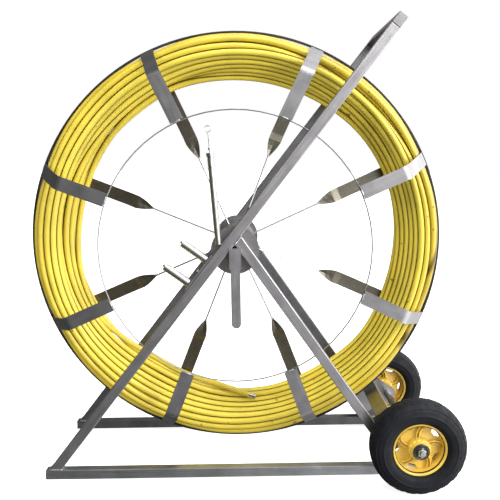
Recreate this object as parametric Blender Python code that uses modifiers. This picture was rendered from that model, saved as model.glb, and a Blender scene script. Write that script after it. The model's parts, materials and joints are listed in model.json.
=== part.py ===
"""Wheeled rod reel: a square-tube A-frame on two rubber wheels, carrying a turning cage of eight
flat-bar forks that holds a winding of fibreglass duct rod.

Metres, +Z up, standing on z = 0. X runs from the foot to the wheels and Y is the reel's axis, with
the brake lever, lock pin and guide rollers on the -Y side. The frame is drawn about the hub, square
to its base rails, and the whole assembly then leans until feet and wheels share one floor.
"""

from math import asin, atan2, cos, hypot, pi, radians, sin, sqrt, tan

import bmesh
import bpy
from mathutils import Matrix, Vector

GAP = 0.0003                      # between pieces that touch

# Side frames, drawn in the X-Z plane about the hub at (0, 0)
TUBE = 0.025                      # square tube
WALL = 0.002
TUBE_BEVEL = 0.0015
FRAME_OUT = 0.1708                # outer faces of the side frames
FRAME_IN = FRAME_OUT - TUBE
FRAME_MID = FRAME_OUT - TUBE / 2
RAIL_LEFT, RAIL_RIGHT = -0.499, 0.470
RAIL_Z = -0.5755                  # centre of the base rails
DIAGONAL_ANGLE = radians(51.8)
DIAGONAL_X = -0.03085             # where its centre line crosses the hub's height
DIAGONAL_TOP = 0.675              # along its centre line, from that crossing
BRACE_ANGLE = radians(-55.51)
BRACE_X = 0.02695
VENT_R = 0.002                    # vent hole of a tube whose ends are welded shut
HANDLE_HEIGHT = 0.032             # the handle tube, along the diagonals

# Rear cross tube and axle brackets, in the brace's own directions: u down it, v square to it
CROSS_U, CROSS_V = 0.5765, 0.064
CROSS_SIZE_U, CROSS_SIZE_V = 0.025, 0.038
BRACKET_T = 0.0055

# Wheels
WHEEL_X, WHEEL_Z = 0.4477, -0.4888
WHEEL_Y = 0.217                   # mid-plane
TYRE_R, TYRE_HALF = 0.120, 0.039
RIM_R, RIM_HALF = 0.0660, 0.0285
RIM_SEAT = 0.0585
HUB_R, HUB_HALF = 0.0215, 0.036
WHEEL_BEARING_R, WHEEL_BEARING_LENGTH = 0.0165, 0.012
AXLE_R = 0.010
AXLE_STUD_R = 0.0058              # its threaded ends
AXLE_NUT_R, AXLE_NUT_H = 0.0112, 0.009
AXLE_SHOULDER, STUD_SHOWS = 0.0015, 0.005   # below the hubs' outer faces, beyond the nuts
NUT_BORE = 0.0061
AXLE_BRACKET_NOSE = 0.024
SPACER_R = 0.0145
WINDOWS = 5

# Cage reel
FORKS = 8
FORK_START = radians(22.5 + 0.8)
FORK_SKEW = (0.0, -2.0, 0.9, 0.3, 0.0, 0.0, -1.7, -1.8)    # degrees, at the hoop
STRIP_W, STRIP_T = 0.035, 0.003
RING_R, RING_WIRE = 0.3456, 0.00175
HOOP_R, HOOP_T, HOOP_W = 0.5566, 0.003, 0.022      # its outside
CAGE_Y = 0.030                    # middle of the hoop
CAGE_R = sqrt((HOOP_R - HOOP_T - 2 * GAP) ** 2 - STRIP_W ** 2 / 4) - STRIP_T / 2   # under the hoop
FLAT = HOOP_W / 2 + 0.0015        # half of the forks' straight stretch under the hoop
ARM_Y = -0.1285                   # middle of the near arms
ARM_INNER_R = RING_R + RING_WIRE + GAP
NEAR_BEND_R = 0.4745
BACK_R, BACK_Y = 0.520, 0.089     # on the back arm, before its bend
NEAR_ROUND, HOOP_ROUND, BACK_ROUND, STEP_ROUND = 0.0125, 0.0085, 0.034, 0.004   # lengths of the bends
TIP_R, TIP_Y = 0.248, 0.060
TIP_LENGTH, STEP_LENGTH = 0.046, 0.018
TIP_RISE, STEP_RISE = 0.0045, 0.008
TIP_SHAPE = ((1.0, 1.0, 0.0), (0.66, 0.80, 0.0015), (0.36, 0.52, 0.0022), (0.12, 0.25, 0.0012),
             (0.0, 0.13, 0.0))    # share of the tip's length, share of the bar's width, trough depth
SPOKE_R = 0.00225
SPOKE_HUB_Y = 0.0345
HUB_TUBE_R, HUB_TUBE_WALL, HUB_TUBE_HALF = 0.050, 0.0035, 0.130
END_PLATE_R, END_PLATE_T = 0.0555, 0.004
REEL_AXLE_R = 0.009
REEL_BEARING_R = 0.0172
RACE_INSIDE, RACE_OUTSIDE = 0.005, 0.002    # how far its bearings pass the end plates
AXLE_PLATE_R, AXLE_PLATE_T = 0.0606, 0.005
BRAKE_PAD_R = 0.045

# Winding of rod: its free side slopes from the far inner corner to the near outer one
WINDING_IN, WINDING_CLEAR = 0.426, 0.0012
WINDING_BACK = 0.010              # its far edge stops this far inside BACK_R
WINDING_CORNER = (0.008, 0.067)   # its far outer corner: inside the forks, and its y
WINDING_SIDE = 0.010              # how far it passes the hoop's far edge under it
SLOPE_CLEAR = 1.1                 # clearance along a sloping arm
WINDING_NEAR = ((0.498, -0.014), (0.538, -0.008))
FITTING_R, FITTING_LENGTH, FITTING_BORE = 0.0062, 0.020, 0.0035
FITTING_FROM = Vector((-0.0204, 0.0500, -0.4318))  # a point of the rod before its loose end
FITTING_TIP = Vector((0.0471, 0.0280, -0.4492))

# Brake lever, lock pin and guide rollers on the near side
LEVER_TOP, LEVER_BOTTOM = 0.0089, -0.1924
LEVER_X = 0.0005
LEVER_HEAD_W, LEVER_HEAD_H, LEVER_W = 0.029, 0.052, 0.0235
LEVER_Y, LEVER_T, LEVER_HEAD_T = -0.1715, 0.005, 0.008
STUD_R = 0.005
LOCK_FOOT = (-0.0405, 0.0175)
LOCK_TOP = (-0.0560, 0.2410)
LOCK_R, LOCK_BORE_R = 0.0080, 0.0035
LOCK_COLLAR_R, LOCK_COLLAR_H = 0.0098, 0.009
PULL_BALL_R = 0.0042
PULL_R, PULL_RING_R, PULL_WIRE = 0.0016, 0.0075, 0.0012
ROLLER_FEET = ((-0.0810, -0.0130), (-0.1270, -0.0700))
ROLLER_ANGLE = radians(143.5)
ROLLER_R, ROLLER_LENGTH, ROLLER_BORE = 0.0105, 0.072, 0.0038
ROLLER_PIN_R, ROLLER_CLEAR = 0.0033, 0.003
GUIDE_T = 0.004


# ---------------------------------------------------------------- scene and materials

for old in list(bpy.data.objects):
    bpy.data.objects.remove(old, do_unlink=True)

PARTS = bpy.data.collections.new("wheeled_rod_reel")
CUTTERS = bpy.data.collections.new("cutters")
for group in (PARTS, CUTTERS):
    bpy.context.scene.collection.children.link(group)


def finish(name, colour, roughness, metallic=0.0):
    material = bpy.data.materials.new(name)
    material.use_nodes = True
    shader = material.node_tree.nodes["Principled BSDF"]
    shader.inputs["Base Color"].default_value = (*colour, 1.0)
    shader.inputs["Roughness"].default_value = roughness
    shader.inputs["Metallic"].default_value = metallic
    return material


TUBE_STEEL = finish("tube_steel", (0.42, 0.42, 0.43), 0.38, 0.85)
STRIP_STEEL = finish("strip_steel", (0.36, 0.36, 0.38), 0.34, 0.85)
DARK_STEEL = finish("dark_steel", (0.16, 0.16, 0.16), 0.5, 0.6)
CHROME = finish("bright_steel", (0.75, 0.75, 0.74), 0.15, 1.0)
HOOP_BLACK = finish("hoop_black", (0.02, 0.02, 0.02), 0.5)
ROD_YELLOW = finish("rod_yellow", (0.72, 0.55, 0.05), 0.35)
RIM_YELLOW = finish("rim_yellow", (0.85, 0.52, 0.05), 0.35)
TYRE_RUBBER = finish("tyre_rubber", (0.02, 0.02, 0.022), 0.8)
PAD_BROWN = finish("pad_brown", (0.12, 0.07, 0.04), 0.9)


# ---------------------------------------------------------------- making objects

def empty(name, location, parent=None, turn=0.0):
    """A joint or assembly frame: its Y axis stays the reel's axis, turned about it by turn."""
    obj = bpy.data.objects.new(name, None)
    obj.empty_display_size = 0.05
    obj.location = location
    obj.rotation_euler = (0.0, turn, 0.0)
    obj.parent = parent
    PARTS.objects.link(obj)
    return obj


def place(name, mesh, parent, material, location=(0, 0, 0), rotation=(0, 0, 0)):
    obj = bpy.data.objects.new(name, mesh)
    obj.location = location
    obj.rotation_euler = rotation
    obj.parent = parent
    PARTS.objects.link(obj)
    mesh.materials.append(material)
    return obj


def cutter(name, mesh, parent, location=(0, 0, 0), rotation=(0, 0, 0)):
    obj = bpy.data.objects.new(name, mesh)
    obj.location = location
    obj.rotation_euler = rotation
    obj.parent = parent
    obj.hide_render = True
    obj.display_type = "WIRE"
    CUTTERS.objects.link(obj)
    return obj


def combine(obj, other, operation="DIFFERENCE"):
    modifier = obj.modifiers.new(operation.lower(), "BOOLEAN")
    modifier.operation = operation
    modifier.object = other
    modifier.solver = "EXACT"


def bevel(obj, width, segments=2):
    modifier = obj.modifiers.new("bevel", "BEVEL")
    modifier.width = width
    modifier.segments = segments
    modifier.limit_method = "ANGLE"
    modifier.angle_limit = radians(30)


def smooth(obj, angle=35):
    obj.data.shade_smooth()
    obj.data.set_sharp_from_angle(angle=radians(angle))


def mesh_of(name, build):
    mesh = bpy.data.meshes.new(name)
    work = bmesh.new()
    build(work)
    work.to_mesh(mesh)
    work.free()
    return mesh


def box_mesh(name, size):
    def build(work):
        bmesh.ops.create_cube(work, size=1.0)
        bmesh.ops.scale(work, vec=Vector(size), verts=work.verts)
    return mesh_of(name, build)


def rod_mesh(name, radius, length, sides=24, along="Y"):
    """A cylinder centred on its origin."""
    turn = {"X": (pi / 2, "Y"), "Y": (pi / 2, "X"), "Z": (0.0, "X")}[along]

    def build(work):
        bmesh.ops.create_cone(work, cap_ends=True, segments=sides, radius1=radius, radius2=radius,
                              depth=length, matrix=Matrix.Rotation(turn[0], 4, turn[1]))
    return mesh_of(name, build)


def slab_mesh(name, outline, thickness):
    """An outline of (x, z) points, counter-clockwise seen from -Y, made thickness thick along Y."""
    def build(work):
        near = [work.verts.new((x, -thickness / 2, z)) for x, z in outline]
        face = work.faces.new(near)
        grown = bmesh.ops.extrude_face_region(work, geom=[face])
        moved = [item for item in grown["geom"] if isinstance(item, bmesh.types.BMVert)]
        bmesh.ops.translate(work, vec=(0, thickness, 0), verts=moved)
        bmesh.ops.recalc_face_normals(work, faces=work.faces)
    return mesh_of(name, build)


def turned(name, parent, material, profile, steps=32, location=(0, 0, 0)):
    """Turns a closed outline of (radius, y) points about Y. Its outer side runs from high y to low."""
    mesh = bpy.data.meshes.new(name)
    count = len(profile)
    edges = [(i, (i + 1) % count) for i in range(count)]
    mesh.from_pydata([(r, 0.0, y) for r, y in profile], edges, [])
    obj = place(name, mesh, parent, material, location, (-pi / 2, 0.0, 0.0))
    screw = obj.modifiers.new("turn", "SCREW")
    screw.steps = screw.render_steps = steps
    screw.use_merge_vertices = True
    screw.merge_threshold = 0.00001
    return obj


def collar(inner, outer, low, high):
    """The closed profile of a plain ring."""
    return [(inner, high), (outer, high), (outer, low), (inner, low)]


def tube(name, start, end, y, cuts=(None, None)):
    """A square tube along the X-Z line from start to end. A cut is its end face's angle there."""
    run = (end[0] - start[0], end[1] - start[1])
    length, angle = hypot(*run), atan2(run[1], run[0])
    place_at = ((start[0] + end[0]) / 2, y, (start[1] + end[1]) / 2)
    shear = [0.0 if cut is None else 1.0 / tan(cut - angle) for cut in cuts]

    def build(work):
        bmesh.ops.create_cube(work, size=1.0)
        bmesh.ops.scale(work, vec=(length, TUBE, TUBE), verts=work.verts)
        for vert in work.verts:
            vert.co.x += vert.co.z * (shear[0] if vert.co.x < 0 else shear[1])

    obj = place(name, mesh_of(name, build), ASSEMBLY, TUBE_STEEL, place_at, (0.0, -angle, 0.0))
    bevel(obj, TUBE_BEVEL)
    inside = (length + 0.1, TUBE - 2 * WALL, TUBE - 2 * WALL)
    hollow(obj, inside, place_at, (0.0, -angle, 0.0))
    smooth(obj)


def hollow(obj, inside, location, rotation):
    """Bores a tube. A bore longer than the tube leaves its ends open."""
    bore = obj.name + "_bore"
    combine(obj, cutter(bore, box_mesh(bore, inside), ASSEMBLY, location, rotation))


def closed_tube(name, size, location, rotation):
    """A tube whose ends are shut, with a vent hole through its lower wall."""
    obj = place(name, box_mesh(name, size), ASSEMBLY, TUBE_STEEL, location, rotation)
    bevel(obj, TUBE_BEVEL)
    hollow(obj, [side - 2 * WALL for side in size], location, rotation)
    drill = cutter(name + "_vent", rod_mesh("vent", VENT_R, size[2], 12, "Z"), obj,
                   (0.0, 0.0, -size[2] / 2))
    combine(obj, drill)
    smooth(obj)


def wire_ring(name, parent, material, radius, wire, y, steps=64, sides=5):
    points = [(radius + wire * cos(2 * pi * i / sides), y - wire * sin(2 * pi * i / sides))
              for i in range(sides)]
    smooth(turned(name, parent, material, points, steps), 80)


def brace_point(u, v):
    """(x, z) from the brace's own directions, u down it from the hub and v square to it."""
    return (u * cos(BRACE_ANGLE) - v * sin(BRACE_ANGLE), u * sin(BRACE_ANGLE) + v * cos(BRACE_ANGLE))


# ---------------------------------------------------------------- assembly frames

def floor_lean():
    """The lean that puts the rails' left bottom corners and the tyres on one level floor."""
    across = WHEEL_X - RAIL_LEFT
    up = WHEEL_Z - (RAIL_Z - TUBE / 2)
    return asin(TYRE_R / hypot(across, up)) - atan2(up, across)


LEAN = floor_lean()
HUB_HEIGHT = -RAIL_LEFT * sin(LEAN) - (RAIL_Z - TUBE / 2) * cos(LEAN)
RIGHTMOST = WHEEL_X * cos(LEAN) - WHEEL_Z * sin(LEAN) + TYRE_R
LEFTMOST = -HOOP_R
HUB_X = -(RIGHTMOST + LEFTMOST) / 2

ASSEMBLY = empty("assembly", (HUB_X, 0.0, HUB_HEIGHT), turn=-LEAN)
REEL = empty("reel_axis", (0, 0, 0), ASSEMBLY)
LEVER = empty("lever_axis", (0, 0, 0), ASSEMBLY)


# ---------------------------------------------------------------- side frames

def diagonal_point(distance):
    return (DIAGONAL_X + distance * cos(DIAGONAL_ANGLE), distance * sin(DIAGONAL_ANGLE))


def side_frame(side, y):
    """Base rail, diagonal and brace of one side."""
    rail_top = RAIL_Z + TUBE / 2 + GAP
    closed_tube("base_rail_" + side, (RAIL_RIGHT - RAIL_LEFT, TUBE, TUBE),
                ((RAIL_LEFT + RAIL_RIGHT) / 2, y, RAIL_Z), (0, 0, 0))
    foot = diagonal_point(rail_top / sin(DIAGONAL_ANGLE))
    tube("diagonal_" + side, foot, diagonal_point(DIAGONAL_TOP), y, (0.0, None))
    half = (TUBE / 2 + GAP) / sin(DIAGONAL_ANGLE - BRACE_ANGLE)
    cross = (BRACE_X - DIAGONAL_X) / sin(DIAGONAL_ANGLE - BRACE_ANGLE)
    head = half - cross * sin(DIAGONAL_ANGLE)
    start = (BRACE_X + head * cos(BRACE_ANGLE), head * sin(BRACE_ANGLE))
    end = (BRACE_X + rail_top / tan(BRACE_ANGLE), rail_top)
    tube("brace_" + side, start, end, y, (DIAGONAL_ANGLE, 0.0))


def handle():
    """The closed tube across the tops of the diagonals."""
    centre = diagonal_point(DIAGONAL_TOP + GAP + HANDLE_HEIGHT / 2)
    closed_tube("handle_tube", (HANDLE_HEIGHT, 2 * FRAME_OUT, TUBE), (centre[0], 0.0, centre[1]),
                (0.0, -DIAGONAL_ANGLE, 0.0))


def bracket_outline():
    """Covers the brace, the rear cross tube's end and a round nose about the wheel axle."""
    axle_u = WHEEL_X * cos(BRACE_ANGLE) + WHEEL_Z * sin(BRACE_ANGLE)
    axle_v = -WHEEL_X * sin(BRACE_ANGLE) + WHEEL_Z * cos(BRACE_ANGLE)
    cross_top = CROSS_U - CROSS_SIZE_U / 2
    cross_side = CROSS_V + CROSS_SIZE_V / 2
    arc = [(axle_u + AXLE_BRACKET_NOSE * sin(a), axle_v + AXLE_BRACKET_NOSE * cos(a))
           for a in (radians(step) for step in range(-40, 141, 20))]
    corners = [(cross_top, 0.012), (cross_top, cross_side), *arc, (axle_u + 0.012, 0.012)]
    return [brace_point(u, v) for u, v in corners]


def rear_frame():
    """Cross tube, the two axle brackets, the wheel axle and its nuts and spacers."""
    centre = brace_point(CROSS_U, CROSS_V)
    turn = (0.0, -BRACE_ANGLE, 0.0)
    bracket_out = FRAME_IN - GAP
    length = 2 * (bracket_out - BRACKET_T - GAP)
    place_at = (centre[0], 0.0, centre[1])
    bar = place("rear_cross_tube", box_mesh("cross", (CROSS_SIZE_U, length, CROSS_SIZE_V)), ASSEMBLY,
                TUBE_STEEL, place_at, turn)
    bevel(bar, TUBE_BEVEL)
    hollow(bar, (CROSS_SIZE_U - 2 * WALL, length + 0.1, CROSS_SIZE_V - 2 * WALL), place_at, turn)
    smooth(bar)
    hole = cutter("axle_hole", rod_mesh("axle_hole", AXLE_R + GAP, 0.6, 32), ASSEMBLY,
                  (WHEEL_X, 0.0, WHEEL_Z))
    thread = cutter("nut_hole", rod_mesh("nut_hole", NUT_BORE, 0.6, 24), ASSEMBLY,
                    (WHEEL_X, 0.0, WHEEL_Z))
    for side, sign in (("near", -1), ("far", 1)):
        plate = place("axle_bracket_" + side, slab_mesh("bracket", bracket_outline(), BRACKET_T),
                      ASSEMBLY, TUBE_STEEL, (0.0, sign * (bracket_out - BRACKET_T / 2), 0.0))
        combine(plate, hole)
        smooth(plate)
        hub_inner = WHEEL_Y - HUB_HALF
        spacer = sorted((sign * (bracket_out + GAP), sign * (hub_inner - GAP)))
        ring = turned("axle_spacer_" + side, ASSEMBLY, DARK_STEEL,
                      collar(AXLE_R + GAP, SPACER_R, *spacer), 24, (WHEEL_X, 0.0, WHEEL_Z))
        smooth(ring)
        nut_y = WHEEL_Y + HUB_HALF + GAP + AXLE_NUT_H / 2
        nut = place("axle_nut_" + side, rod_mesh("nut", AXLE_NUT_R, AXLE_NUT_H, 6), ASSEMBLY, CHROME,
                    (WHEEL_X, sign * nut_y, WHEEL_Z))
        combine(nut, thread)
        bevel(nut, 0.0008, 1)
    shoulder = WHEEL_Y + HUB_HALF - AXLE_SHOULDER
    stud_end = WHEEL_Y + HUB_HALF + AXLE_NUT_H + STUD_SHOWS
    axle = place("wheel_axle", rod_mesh("axle", AXLE_R, 2 * shoulder, 32), ASSEMBLY, CHROME,
                 (WHEEL_X, 0.0, WHEEL_Z))
    stud = cutter("axle_stud", rod_mesh("axle_stud", AXLE_STUD_R, 2 * stud_end, 24), ASSEMBLY,
                  (WHEEL_X, 0.0, WHEEL_Z))
    combine(axle, stud, "UNION")
    bevel(axle, 0.0008)
    smooth(axle)


# ---------------------------------------------------------------- wheels

def tyre_profile():
    """A tyre with rounded shoulders, seated between the rim's flanges."""
    bead = RIM_HALF - 0.0036
    seat = RIM_SEAT + 0.0005
    wall = RIM_R + 0.0006
    crown = [(TYRE_R - 0.0012, 0.014), (TYRE_R, 0.0)]
    shoulder = [(0.098 + 0.0195 * cos(radians(a)), 0.0195 + 0.0195 * sin(radians(a)))
                for a in (90, 67, 45, 22)]
    upper = [(seat, bead), (wall, bead), (wall + 0.001, TYRE_HALF - 0.004),
             (0.070, TYRE_HALF - 0.0012), *shoulder, *crown]
    lower = [(r, -y) for r, y in reversed(upper[:-1])]
    return upper + lower


def rim_profile():
    """Flanges, seat, web and hub boss in one turning."""
    web = 0.004
    inner = RIM_SEAT - 0.0045
    bore = WHEEL_BEARING_R + GAP
    side = [(bore, HUB_HALF), (HUB_R, HUB_HALF), (HUB_R + 0.0025, web), (inner - 0.003, web),
            (inner, RIM_HALF - 0.006), (RIM_R - 0.004, RIM_HALF), (RIM_R, RIM_HALF - 0.001),
            (RIM_R, RIM_HALF - 0.003), (RIM_SEAT, RIM_HALF - 0.0036)]
    return side + [(r, -y) for r, y in reversed(side)]


def wheel(side, sign):
    hub = empty("wheel_axis_" + side, (WHEEL_X, sign * WHEEL_Y, WHEEL_Z), ASSEMBLY)
    smooth(turned("tyre_" + side, hub, TYRE_RUBBER, tyre_profile(), 40), 40)
    rim = turned("rim_" + side, hub, RIM_YELLOW, rim_profile(), 32)
    for i in range(WINDOWS):
        angle = 2 * pi * i / WINDOWS + radians(18)
        middle = 0.0385
        window = cutter(f"window_{side}_{i}", rod_mesh("window", 0.0095, 0.03, 16), hub,
                        (middle * cos(angle), 0.0, middle * sin(angle)))
        combine(rim, window)
    smooth(rim, 30)
    for end, direction in (("outer", sign), ("inner", -sign)):
        high = HUB_HALF - 0.001
        span = sorted((direction * high, direction * (high - WHEEL_BEARING_LENGTH)))
        smooth(turned(f"wheel_bearing_{end}_{side}", hub, DARK_STEEL,
                      collar(AXLE_R + GAP, WHEEL_BEARING_R, *span), 24))


# ---------------------------------------------------------------- cage reel

def rounded(corners, steps=6):
    """A line through (radius, y, reach) corners, whose bends start and end reach from them."""
    line = [corners[0][:2]]
    for before, corner, after in zip(corners, corners[1:], corners[2:]):
        middle = Vector(corner[:2])
        start = middle + (Vector(before[:2]) - middle).normalized() * corner[2]
        stop = middle + (Vector(after[:2]) - middle).normalized() * corner[2]
        for i in range(steps + 1):
            t = i / steps
            line.append(start * (1 - t) ** 2 + middle * (2 * t * (1 - t)) + stop * t * t)
    return line + [corners[-1][:2]]


def strip_stations():
    """(radius, y, width, trough) along a fork's flat bar, from its near arm's end to its tip."""
    step_end = (TIP_R + TIP_LENGTH, TIP_Y + TIP_RISE)
    step_start = (step_end[0] + STEP_LENGTH, step_end[1] + STEP_RISE)
    slope = (BACK_Y - step_start[1]) / (BACK_R - step_start[0])
    back_corner = BACK_Y + slope * (CAGE_R - BACK_R)
    bar = rounded([(ARM_INNER_R, ARM_Y), (NEAR_BEND_R, ARM_Y, NEAR_ROUND),
                   (CAGE_R, CAGE_Y - FLAT - HOOP_ROUND, HOOP_ROUND),
                   (CAGE_R, back_corner, BACK_ROUND), (*step_start, STEP_ROUND), step_end])
    stations = [(radius, y, STRIP_W, 0.0) for radius, y in bar[:-1]]
    for share, width, trough in TIP_SHAPE:
        stations.append((TIP_R + TIP_LENGTH * share, TIP_Y + TIP_RISE * share, STRIP_W * width,
                         trough))
    return stations


def fork_mesh(skew):
    """The bar's middle surface, three points across, whose pointed end is pressed to a trough.

    The arms run a little askew, so the bend at the hoop is turned about the hub by skew.
    """
    def build(work):
        rows = []
        for radius, y, width, trough in strip_stations():
            arm_end = ARM_INNER_R if y < CAGE_Y else TIP_R
            turn = Matrix.Rotation(-skew * (radius - arm_end) / (CAGE_R - arm_end), 3, "Y")
            rows.append([work.verts.new(turn @ Vector((radius, y + trough * (side == 0),
                                                       side * width / 2)))
                         for side in (-1, 0, 1)])
        for low, high in zip(rows, rows[1:]):
            for i in (0, 1):
                work.faces.new((low[i], low[i + 1], high[i + 1], high[i]))
    return mesh_of("fork", build)


def fork(index):
    """One flat-bar fork with its rod spoke, at its place round the reel."""
    turn = FORK_START + index * 2 * pi / FORKS
    bar = place(f"fork_{index + 1}", fork_mesh(radians(FORK_SKEW[index])), REEL, STRIP_STEEL,
                rotation=(0.0, -turn, 0.0))
    shell = bar.modifiers.new("thickness", "SOLIDIFY")
    shell.thickness = STRIP_T
    shell.offset = 0.0
    shell.use_even_offset = True
    smooth(bar)
    inner, outer = HUB_TUBE_R + GAP, TIP_R - GAP
    drop = (TIP_Y - SPOKE_HUB_Y) / (TIP_R - HUB_TUBE_R)
    length = (outer - inner - 2 * SPOKE_R * drop) * sqrt(1 + drop * drop)
    middle = (inner + outer) / 2
    radial = empty(f"spoke_axis_{index + 1}", (0, 0, 0), REEL, -turn)
    spoke = place(f"spoke_{index + 1}", rod_mesh("spoke", SPOKE_R, length, 8, "X"), radial,
                  STRIP_STEEL, (middle, SPOKE_HUB_Y + drop * (middle - HUB_TUBE_R), 0.0),
                  (0.0, 0.0, atan2(drop, 1.0)))
    smooth(spoke, 60)


def hub():
    """Hub tube, its two end plates and the bearings that turn on the reel axle."""
    inside = HUB_TUBE_R - HUB_TUBE_WALL
    smooth(turned("hub_tube", REEL, DARK_STEEL,
                  collar(inside, HUB_TUBE_R, -HUB_TUBE_HALF, HUB_TUBE_HALF)))
    for side, sign in (("near", -1), ("far", 1)):
        low = HUB_TUBE_HALF + GAP
        plate = sorted((sign * low, sign * (low + END_PLATE_T)))
        smooth(turned("hub_end_" + side, REEL, DARK_STEEL,
                      collar(REEL_BEARING_R + GAP, END_PLATE_R, *plate)))
        race = sorted((sign * (low - RACE_INSIDE), sign * (low + END_PLATE_T + RACE_OUTSIDE)))
        smooth(turned("hub_bearing_" + side, REEL, CHROME,
                      collar(REEL_AXLE_R + GAP, REEL_BEARING_R, *race), 28))


def winding_profile():
    """The closed outline of the wound rod inside the forks, clear of the bar by a little."""
    inset = STRIP_T / 2 + WINDING_CLEAR
    outer = CAGE_R - inset
    slope = (BACK_Y - TIP_Y - TIP_RISE - STEP_RISE) / (BACK_R - TIP_R - TIP_LENGTH - STEP_LENGTH)
    back_outer = BACK_R - WINDING_BACK
    back = [(WINDING_IN, BACK_Y - slope * (BACK_R - WINDING_IN) - inset * SLOPE_CLEAR),
            (back_outer, BACK_Y - slope * (BACK_R - back_outer) - inset * SLOPE_CLEAR),
            (outer - WINDING_CORNER[0], WINDING_CORNER[1]), (outer, CAGE_Y + HOOP_W / 2 + WINDING_SIDE)]
    return back + [(outer, CAGE_Y - HOOP_W / 2), *reversed(WINDING_NEAR)]


def rod_end_fitting():
    """The metal end of the rod, lying on the winding with its screw socket open."""
    along = (FITTING_TIP - FITTING_FROM).normalized()
    turn = along.to_track_quat("X", "Z").to_euler()
    fitting = place("rod_end_fitting", rod_mesh("fitting", FITTING_R, FITTING_LENGTH, 20, "X"), REEL,
                    CHROME, FITTING_TIP - along * FITTING_LENGTH / 2, turn)
    socket = rod_mesh("fitting_socket", FITTING_BORE, FITTING_LENGTH, 14, "X")
    combine(fitting, cutter("fitting_socket", socket, REEL, FITTING_TIP, turn))
    smooth(fitting)


def cage():
    wire_ring("front_ring", REEL, CHROME, RING_R, RING_WIRE, ARM_Y)
    smooth(turned("hoop", REEL, HOOP_BLACK,
                  collar(HOOP_R - HOOP_T, HOOP_R, CAGE_Y - HOOP_W / 2, CAGE_Y + HOOP_W / 2), 128))
    smooth(turned("rod_winding", REEL, ROD_YELLOW, winding_profile(), 64))


# ---------------------------------------------------------------- reel axle and brake

def axle_and_brake():
    bore = REEL_AXLE_R + GAP
    plate_out = FRAME_IN - GAP
    for side, sign in (("near", -1), ("far", 1)):
        span = sorted((sign * plate_out, sign * (plate_out - AXLE_PLATE_T)))
        smooth(turned("axle_plate_" + side, ASSEMBLY, DARK_STEEL,
                      collar(bore, AXLE_PLATE_R, *span), 40))
    pad_inner = HUB_TUBE_HALF + GAP + END_PLATE_T + GAP
    smooth(turned("brake_pad", ASSEMBLY, PAD_BROWN,
                  collar(0.020, BRAKE_PAD_R, -(plate_out - AXLE_PLATE_T - GAP), -pad_inner)))
    near_end, far_end = LEVER_Y + 2 * GAP, FRAME_OUT + 0.014
    axle = place("reel_axle", rod_mesh("axle", REEL_AXLE_R, far_end - near_end, 28), ASSEMBLY,
                 CHROME, (0.0, (near_end + far_end) / 2, 0.0))
    socket = rod_mesh("socket", STUD_R + GAP, 0.05, 20)
    combine(axle, cutter("axle_socket", socket, ASSEMBLY, (0.0, near_end, 0.0)))
    smooth(axle)
    nut = place("reel_axle_nut", rod_mesh("nut", 0.0165, 0.010, 6), ASSEMBLY, CHROME,
                (0.0, FRAME_OUT + GAP + 0.005, 0.0))
    hole = rod_mesh("nut_hole", REEL_AXLE_R + GAP, 0.05, 28)
    combine(nut, cutter("nut_hole", hole, ASSEMBLY, (0.0, FRAME_OUT, 0.0)))


def brake_lever():
    """A flat bar with a round end, a thicker head and the stud it turns on."""
    half = LEVER_W / 2
    centre_z = LEVER_BOTTOM + half
    arc = [(LEVER_X + half * sin(a), centre_z - half * cos(a))
           for a in (radians(step) for step in range(-90, 91, 15))]
    outline = [*arc, (LEVER_X + half, LEVER_TOP - 0.004), (LEVER_X - half, LEVER_TOP - 0.004)]
    lever = place("brake_lever", slab_mesh("lever", outline, LEVER_T), LEVER, TUBE_STEEL,
                  (0.0, LEVER_Y - LEVER_T / 2, 0.0))
    head = cutter("lever_head", box_mesh("head", (LEVER_HEAD_W, LEVER_HEAD_T, LEVER_HEAD_H)), LEVER,
                  (LEVER_X, LEVER_Y - LEVER_HEAD_T / 2, LEVER_TOP - LEVER_HEAD_H / 2))
    stud = cutter("lever_stud", rod_mesh("stud", STUD_R, 0.024, 20), LEVER,
                  (0.0, LEVER_Y + 0.010, 0.0))
    combine(lever, head, "UNION")
    combine(lever, stud, "UNION")
    smooth(lever, 30)


# ---------------------------------------------------------------- lock pin and guide rollers

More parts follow.
